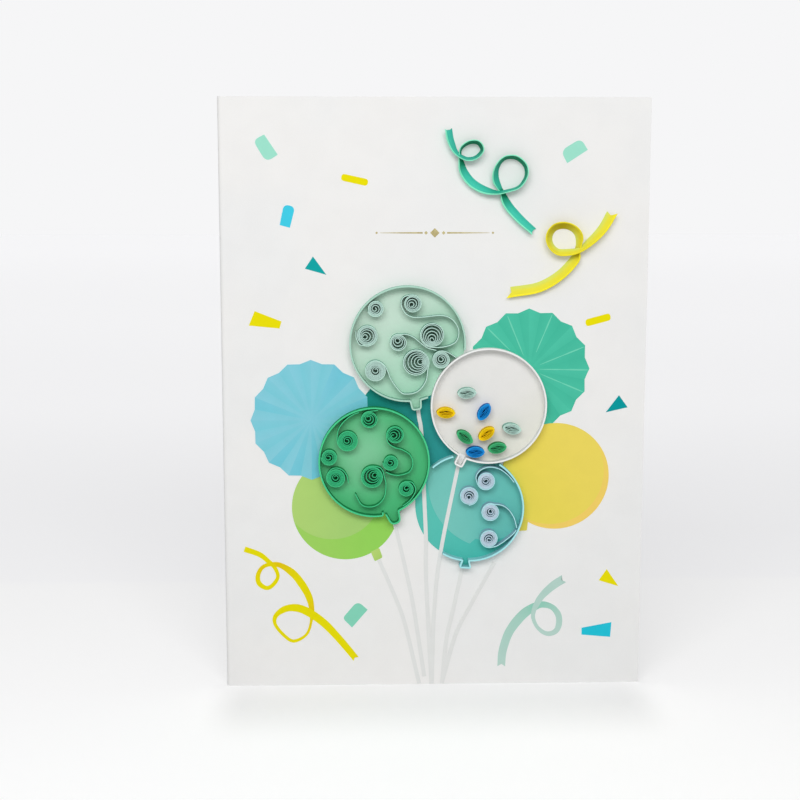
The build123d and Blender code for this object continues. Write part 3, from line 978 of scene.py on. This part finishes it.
def fan_creases():
    """Pale creases along some folds of the green fan: an angle, and two shares of their reach."""
    rows = [
        (112.5, 0.25, 0.95), (67.5, 0.3, 0.98), (135.5, 0.45, 0.97), (22.0, 0.2, 0.98), (-1.0, 0.18, 1.0),
        (-23.0, 0.2, 0.98),
    ]
    for i, (angle, near, far) in enumerate(rows):
        shares = [near + (far - near) * k / line_steps for k in range(line_steps + 1)]
        path = [Vector(green_fan) + polar(angle, crease_reach * share) for share in shares]
        ink_band(f"crease_{i + 1}", path, [0.12, 0.4, 0.25, 0.5, 0.2], 3, "crease")


def strings():
    """Printed balloon strings, which meet at the card's lower edge."""
    rows = {
        "lime": [(-16.8, 39.6), (-11.8, 27.8), (-8.7, 18.9), (-4.4, 0.3)],
        "green": [(-11.9, 50.8), (-8.8, 37.4), (-6.2, 24.8), (-2.8, 2.5)],
        "mint": [
            (-4.9, 86.5), (-4.6, 83.5), (-3.8, 77.9), (-2.9, 57.9), (-2.4, 45.8), (-2.3, 33.0), (-0.6, 0.2),
        ],
        "white": [(7.4, 69.0), (2.1, 41.8), (0.2, 23.6), (-0.5, 0.3)],
        "teal": [(8.9, 37.4), (6.0, 23.5), (4.0, 14.3), (2.8, 1.1)],
        "yellow": [(18.6, 38.4), (11.1, 24.5), (6.8, 15.6), (2.6, 0.3)],
    }
    for level, (name, places) in enumerate(rows.items()):
        ink_band(f"string_{name}", smooth(places, 8), string_widths, 8 + 0.2 * level, "string")


def confetti():
    """Printed confetti: scraps, bars and triangles, with the lengths that round their corners."""
    sharp = (0, 0, 0, 0)
    bar = (1, 1, 1, 1)
    rows = {
        "scrap_upper_left": ("mint", (0, 0, 2.2, 1.9), [
            (-49.9, 166.9), (-46.0, 161.1), (-49.4, 158.9), (-53.2, 165.2)]),
        "bar_top": ("yellow", bar, [(-27.3, 155.7), (-19.5, 154.0), (-19.9, 152.0), (-27.7, 153.7)]),
        "bar_left": ("cyan", (1.6, 1.6, 0, 0), [
            (-44.4, 146.8), (-41.1, 146.0), (-42.7, 139.9), (-45.7, 140.7)]),
        "triangle_left": ("teal", sharp, [(-36.0, 131.5), (-38.4, 127.9), (-32.1, 126.1)]),
        "wedge_left": ("yellow", sharp, [(-53.4, 115.4), (-55.2, 111.1), (-46.1, 110.2), (-45.5, 112.3)]),
        "scrap_upper_right": ("mint", (0, 0, 1.9, 2.2), [
            (38.9, 158.7), (44.9, 162.6), (42.8, 165.9), (36.9, 162.3)]),
        "bar_right": ("yellow", bar, [(45.0, 112.6), (52.4, 114.6), (52.9, 112.5), (45.4, 110.5)]),
        "triangle_right": ("deep_teal", sharp, [(55.7, 89.8), (51.8, 84.6), (58.4, 86.1)]),
        "scrap_lower": ("jade", (0, 0.2, 1.2, 2.0), [
            (-20.2, 23.8), (-25.0, 18.2), (-27.9, 21.2), (-23.3, 26.6)]),
        "triangle_lower": ("yellow", sharp, [(53.1, 36.0), (50.7, 32.5), (56.8, 30.6)]),
        "wedge_right": ("sky", sharp, [(45.7, 17.5), (54.9, 19.2), (54.6, 14.5), (45.7, 15.3)]),
    }
    for name, (look, radii, corners) in rows.items():
        ink_shape(name, rounded(corners, radii), 1, look + "_scrap")


def printed_streamers():
    """Two printed ribbons with swallowtail ends: places on the card, widths and shades."""
    yellow_rows = [
        (-57.5, 43.1, 1.7, 0), (-53.0, 41.4, 1.6, 0), (-50.3, 39.2, 1.4, 0), (-48.4, 37.2, 1.2, 0),
        (-47.5, 34.4, 1.1, 0.1), (-49.0, 31.9, 1.2, 0), (-50.9, 30.9, 1.3, 0), (-53.1, 32.2, 1.5, 0),
        (-53.6, 34.5, 1.4, 0.3), (-52.5, 37.0, 1.2, 0.8), (-50.3, 38.2, 1.2, 0.2), (-46.8, 38.0, 1.6, 1),
        (-43.0, 35.5, 2.2, 0.3), (-40.3, 32.1, 2.3, 0), (-38.2, 28.2, 2.1, 0.2), (-37.3, 24.2, 1.6, 0.9),
        (-37.6, 19.7, 0.8, 0.6), (-39.1, 16.0, 0.8, 0.3), (-42.7, 14.1, 1.0, 0.1),
        (-45.4, 15.5, 1.0, 0.1), (-48.4, 19.2, 1.0, 0.1), (-48.3, 22.1, 1.4, 0.1), (-45.3, 24.3, 2.0, 0),
        (-41.5, 24.5, 2.4, 0), (-37.7, 22.8, 2.5, 0), (-33.6, 19.7, 2.4, 0), (-29.6, 15.4, 2.2, 0),
        (-26.3, 11.4, 2.1, 0), (-23.8, 8.2, 2.0, 0),
    ]
    mint_rows = [
        (40.0, 33.1, 2.6, 0.1), (37.3, 31.4, 2.6, 0), (34.9, 29.4, 2.3, 0.1), (32.9, 27.2, 2.0, 0),
        (31.7, 25.1, 1.8, 0.1), (30.8, 22.9, 1.4, 0), (30.7, 20.7, 1.2, 0), (31.8, 18.1, 1.1, 0),
        (33.8, 16.2, 1.3, 0), (35.9, 15.7, 1.5, 0), (37.9, 16.7, 1.7, 0), (38.7, 19.0, 1.9, 0.1),
        (38.4, 21.7, 1.9, 0.2), (36.5, 24.1, 1.7, 0.6), (33.4, 25.0, 2.0, 0.9), (30.6, 24.1, 2.5, 1),
        (28.0, 22.3, 2.9, 0.6), (25.5, 19.6, 2.9, 0.4), (23.3, 16.3, 2.7, 0.3), (22.0, 12.8, 2.6, 0.2),
        (21.2, 9.3, 2.5, 0.1), (21.0, 5.4, 2.4, 0),
    ]
    rows = {"yellow_streamer": (yellow_rows, 7, 2.0, (1,)), "mint_streamer": (mint_rows, 5, -0.6, (0, 1))}
    for name, (places, steps, rise, tails) in rows.items():
        path = smooth([place[:2] for place in places], steps)
        widths = [place[2] for place in places]
        shades = [place[3] for place in places]
        ink_band(name, path, widths, 1, name, shades, rise, tails)


def ornament():
    """A small gold rule with diamonds, where the greeting would stand."""
    centre = Vector((0.0, 138.4))
    for side, name in ((-1, "left"), (1, "right")):
        reaches = [rule_start + rule_length * k / line_steps for k in range(line_steps + 1)]
        path = [centre + Vector((side * reach, 0)) for reach in reaches]
        ink_band(f"rule_{name}", path, [0.5, 0.42, 0.34, 0.22, 0.1], 1, "gold")
    for across, half in ((-2.6, 0.55), (0.0, 1.4), (2.6, 0.55), (-17.2, 0.4), (17.2, 0.4)):
        spot = centre + Vector((across, 0))
        corners = [spot + Vector(step) * half for step in ((1, 0), (0, 1), (-1, 0), (0, -1))]
        ink_shape(f"diamond_{round(across * 10 + 200)}", corners, 1, "gold")


def dress_card():
    """Paper for the folded card itself."""
    card = frame["nodes"]["card"]
    card.data.materials.clear()
    card.data.materials.append(card_stock())


# The room, in metres and degrees
table_depth = 0.076
table_edge = 0.0015
tone_depth = 1.4
room_half = 6.0
camera_place = (-0.0227, -0.4597, 0.1472)
camera_yaw = 1.71
camera_pitch = 8.02
camera_lens = 63.0
key_place = (-0.08, -0.80, 0.58)
key_target = (0.0, -0.044, 0.10)
key_size = (0.9, 0.34)
key_power = 4.96
world_light = 0.47
table_glow = 0.485
# Painted shade on the table just before the card's foot: its depth, width, reach and edge
painted_foot_shade = 0.22
foot_width = (0.056, 0.070)
foot_reach = (0.012, 0.05)
foot_edge = 0.003
beyond_glow = (0.53, 0.655, 0.71)
beyond_depths = (0.6, 4.0)


def floor():
    """A pale table and the backdrop tone beyond it, with painted shade on the table just before the card's
    foot.
    """
    mesh = bpy.data.meshes.new("floor")
    corners = [(x * room_half, y * room_half, 0) for x, y in ((-1, -1), (1, -1), (1, 1), (-1, 1))]
    mesh.from_pydata(corners, [], [(0, 1, 2, 3)])
    add_object("floor", mesh)
    look = Look("floor", roughness=0.8, specular=0.1)
    aside, depth = look.node("SeparateXYZ", {0: look.place}).outputs[:2]
    # Painted shade: less glow on the table just before the card's foot
    beside = look.ramp(look.math("ABSOLUTE", aside), *foot_width, 1.0, 0.0)
    before = look.ramp(depth, card_low.y - foot_reach[1], card_low.y - foot_reach[0], 0.0, painted_foot_shade)
    before = look.times(before, look.ramp(depth, card_low.y, card_low.y + foot_edge, 1.0, 0.0))
    border = (table_depth - table_edge, table_depth + table_edge)
    table = look.mix(look.ramp(depth, *border), (226, 226, 226), (220, 220, 221))
    tone = look.mix(look.ramp(depth, table_depth, tone_depth), table, (228, 228, 229))
    mesh.materials.append(look.material)
    look.feed("Base Color", tone)
    near, middle, far = beyond_glow
    past = look.ramp(depth, *border, table_glow, near)
    rise = look.ramp(depth, table_depth, beyond_depths[0], 0.0, middle - near)
    rest = look.ramp(depth, *beyond_depths, 0.0, far - middle)
    glow = look.math("ADD", look.math("ADD", past, rise), rest)
    # Painted shade taken from the glow before the card's foot
    glow = look.math("SUBTRACT", glow, look.times(beside, before))
    seen = look.node("LightPath").outputs["Is Camera Ray"]
    look.feed("Emission Color", tone)
    look.feed("Emission Strength", look.times(seen, glow))


def key_light():
    """One soft light above the camera."""
    softbox = bpy.data.lights.new("key", "AREA")
    softbox.shape = "RECTANGLE"
    softbox.size, softbox.size_y = key_size
    softbox.energy = key_power
    key = add_object("key", softbox)
    key.location = key_place
    key.rotation_euler = (Vector(key_target) - Vector(key_place)).to_track_quat("-Z", "Y").to_euler()
    key.visible_camera = False


def world():
    """Even light all round, seen as a pale tone."""
    studio = bpy.data.worlds.new("studio")
    scene.world = studio
    studio.use_nodes = True
    tree = studio.node_tree
    back = tree.nodes["Background"]
    path = add_node(tree, "LightPath").outputs
    rays = {0: path["Is Camera Ray"], 1: path["Is Glossy Ray"]}
    mirrored = add_node(tree, "Math", rays, operation="MAXIMUM").outputs[0]
    strength = add_node(tree, "MapRange", {"Value": mirrored, "To Min": world_light, "To Max": 1.0})
    tree.links.new(strength.outputs["Result"], back.inputs["Strength"])
    back.inputs["Color"].default_value = srgb(246, 246, 247)


def camera():
    """Camera at the photograph's place."""
    data = bpy.data.cameras.new("camera")
    data.lens = camera_lens
    data.sensor_width = 36.0
    data.clip_start = 0.01
    data.clip_end = 50.0
    seen = add_object("camera", data)
    seen.location = camera_place
    seen.rotation_euler = Euler((math.radians(90 - camera_pitch), 0, math.radians(-camera_yaw)))
    scene.camera = seen


dress_card()
discs()
fan_creases()
strings()
confetti()
printed_streamers()
ornament()
rims()
mint_coils()
green_coils()
teal_coils()
marquises()
streamers()
floor()
key_light()
world()
camera()
scene.view_settings.view_transform = "Standard"
